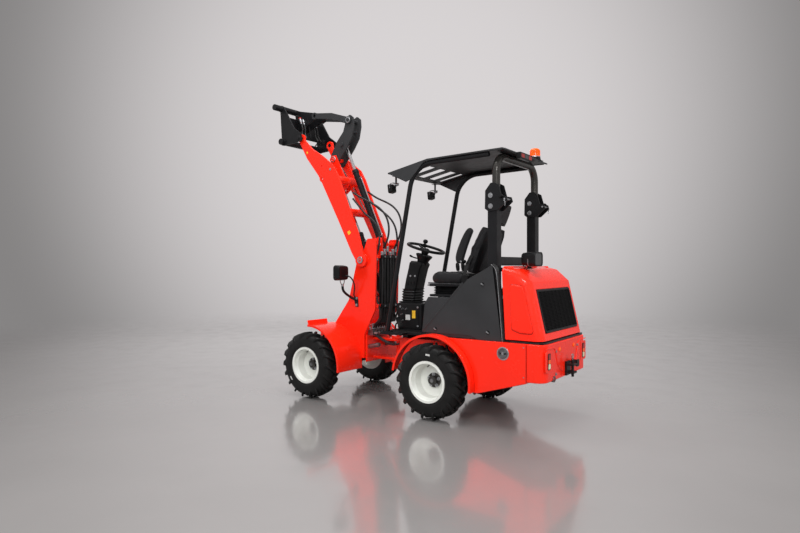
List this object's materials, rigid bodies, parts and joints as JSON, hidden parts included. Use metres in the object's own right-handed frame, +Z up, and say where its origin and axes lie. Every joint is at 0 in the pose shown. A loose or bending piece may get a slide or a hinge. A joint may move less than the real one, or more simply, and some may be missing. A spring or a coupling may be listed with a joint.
{
  "type": "compact wheel loader",
  "caption": "Compact articulated wheel loader with raised tool arm, quick coupler without a tool, seat, steering wheel, roll-over bar and canopy.",
  "frame": {"origin": "on the ground under the middle of the machine's box", "axes": "+X forward, +Y to the driver's left, +Z up"},
  "size_m": [3.0522, 1.15, 2.9117],
  "materials": {
    "tyre": "matte",
    "rim_cream": "satin",
    "body_red": "gloss",
    "frame_black": "satin",
    "panel_grey": "satin",
    "cast_iron": "matte",
    "steel": "brushed",
    "chrome": "polished",
    "black_plastic": "matte",
    "seat_cover": "satin",
    "amber": "gloss",
    "lamp_red": "gloss",
    "rubber": "matte"
  },
  "bodies": {
    "chassis": {"rear_frame": "frame_black", "rear_axle": "cast_iron", "side_tank_left": "body_red", "side_tank_right": "body_red", "counterweight": "body_red", "engine": "cast_iron", "hitch": "frame_black", "rear_fender_left": "body_red", "rear_fender_right": "body_red", "side_panel_left": "panel_grey", "side_panel_right": "panel_grey", "floor": "frame_black", "console": "frame_black", "seat_box": "panel_grey", "seat_mount": "black_plastic", "seat_cushion": "seat_cover", "seat_back": "seat_cover", "steering_column": "black_plastic", "roll_bar": "panel_grey", "roll_hoop": "panel_grey", "roof": "panel_grey", "roof_strut_left": "panel_grey", "roof_strut_right": "panel_grey", "beacon": "amber", "deck": "black_plastic", "fuel_cap": "black_plastic", "tail_lamps": "lamp_red", "roof_lamps": "black_plastic"},
    "front_frame": {"tower": "body_red", "articulation": "body_red", "front_axle": "cast_iron", "front_fender_left": "body_red", "front_fender_right": "body_red", "head_lamps": "black_plastic", "tower_hoses": "rubber", "valve_block": "steel"},
    "hood": {"hood": "body_red", "grille": "black_plastic", "work_lamp": "black_plastic"},
    "steering_wheel": {"steering_wheel": "black_plastic"},
    "boom": {"arm_left": "body_red", "arm_right": "body_red", "arm_tubes": "body_red"},
    "rocker": {"rocker": "panel_grey"},
    "link": {"link": "panel_grey"},
    "carrier": {"carrier": "panel_grey"},
    "tilt_barrel": {"tilt_barrel": "frame_black"},
    "tilt_rod": {"tilt_rod": "chrome"},
    "lift_barrel": {"lift_barrel": "frame_black"},
    "lift_rod": {"lift_rod": "chrome"},
    "wheel_front_left": {"tyre_front_left": "tyre", "rim_front_left": "rim_cream"},
    "wheel_front_right": {"tyre_front_right": "tyre", "rim_front_right": "rim_cream"},
    "wheel_rear_left": {"tyre_rear_left": "tyre", "rim_rear_left": "rim_cream"},
    "wheel_rear_right": {"tyre_rear_right": "tyre", "rim_rear_right": "rim_cream"}
  },
  "joints": [
    {"name": "articulation", "type": "hinge", "parent": "chassis", "child": "front_frame", "pos_m": [0.168, 0, 0.45], "axis": [0, 0, 1], "range_deg": [-42, 42]},
    {"name": "boom_lift", "type": "hinge", "parent": "front_frame", "child": "boom", "pos_m": [0.456, 0, 1.298], "axis": [0, 1, 0], "range_deg": [0, 102]},
    {"name": "tool_tilt", "type": "hinge", "parent": "boom", "child": "carrier", "pos_m": [1.24417, 0, 2.54476], "axis": [0, 1, 0], "range_deg": [-40, 70]},
    {"name": "rocker_swing", "type": "hinge", "parent": "boom", "child": "rocker", "pos_m": [0.92893, 0, 2.31933], "axis": [0, 1, 0], "range_deg": [-26, 42]},
    {"name": "link_swing", "type": "hinge", "parent": "rocker", "child": "link", "pos_m": [0.73993, 0, 2.69333], "axis": [0, 1, 0], "range_deg": [-30, 20]},
    {"name": "tilt_barrel_swing", "type": "hinge", "parent": "front_frame", "child": "tilt_barrel", "pos_m": [0.373, 0, 1.445], "axis": [0, 1, 0], "range_deg": [0, 102]},
    {"name": "tilt_rod_slide", "type": "slide", "parent": "tilt_barrel", "child": "tilt_rod", "axis": [0.4123, 0, 0.9111], "range_m": [0, 0.3]},
    {"name": "lift_barrel_swing", "type": "hinge", "parent": "front_frame", "child": "lift_barrel", "pos_m": [0.368, 0, 0.96], "axis": [0, 1, 0], "range_deg": [0, 90]},
    {"name": "lift_rod_slide", "type": "slide", "parent": "lift_barrel", "child": "lift_rod", "axis": [0.4301, 0, 0.9028], "range_m": [-0.5, 0]},
    {"name": "hood_lift", "type": "hinge", "parent": "chassis", "child": "hood", "pos_m": [-1.082, 0, 1.215], "axis": [0, 1, 0], "range_deg": [0, 60]},
    {"name": "steering_wheel_turn", "type": "hinge", "parent": "chassis", "child": "steering_wheel", "pos_m": [-0.138, 0, 1.403], "axis": [-0.2924, 0, 0.9563], "continuous": true},
    {"name": "wheel_front_left_spin", "type": "hinge", "parent": "front_frame", "child": "wheel_front_left", "pos_m": [0.8465, 0.482, 0.31], "axis": [0, 1, 0], "continuous": true},
    {"name": "wheel_front_right_spin", "type": "hinge", "parent": "front_frame", "child": "wheel_front_right", "pos_m": [0.8465, -0.482, 0.31], "axis": [0, 1, 0], "continuous": true},
    {"name": "wheel_rear_left_spin", "type": "hinge", "parent": "chassis", "child": "wheel_rear_left", "pos_m": [-0.5105, 0.482, 0.31], "axis": [0, 1, 0], "continuous": true},
    {"name": "wheel_rear_right_spin", "type": "hinge", "parent": "chassis", "child": "wheel_rear_right", "pos_m": [-0.5105, -0.482, 0.31], "axis": [0, 1, 0], "continuous": true}
  ],
  "couplings": [
    {"joint": "rocker_swing", "follows": "tool_tilt", "ratio": 0.58},
    {"joint": "link_swing", "follows": "tool_tilt", "ratio": -0.4},
    {"joint": "tilt_barrel_swing", "follows": "boom_lift", "ratio": 0.98},
    {"joint": "tilt_rod_slide", "follows": "boom_lift", "m_per_rad": 0.15},
    {"joint": "lift_barrel_swing", "follows": "boom_lift", "ratio": 0.78},
    {"joint": "lift_rod_slide", "follows": "boom_lift", "m_per_rad": -0.235}
  ]
}
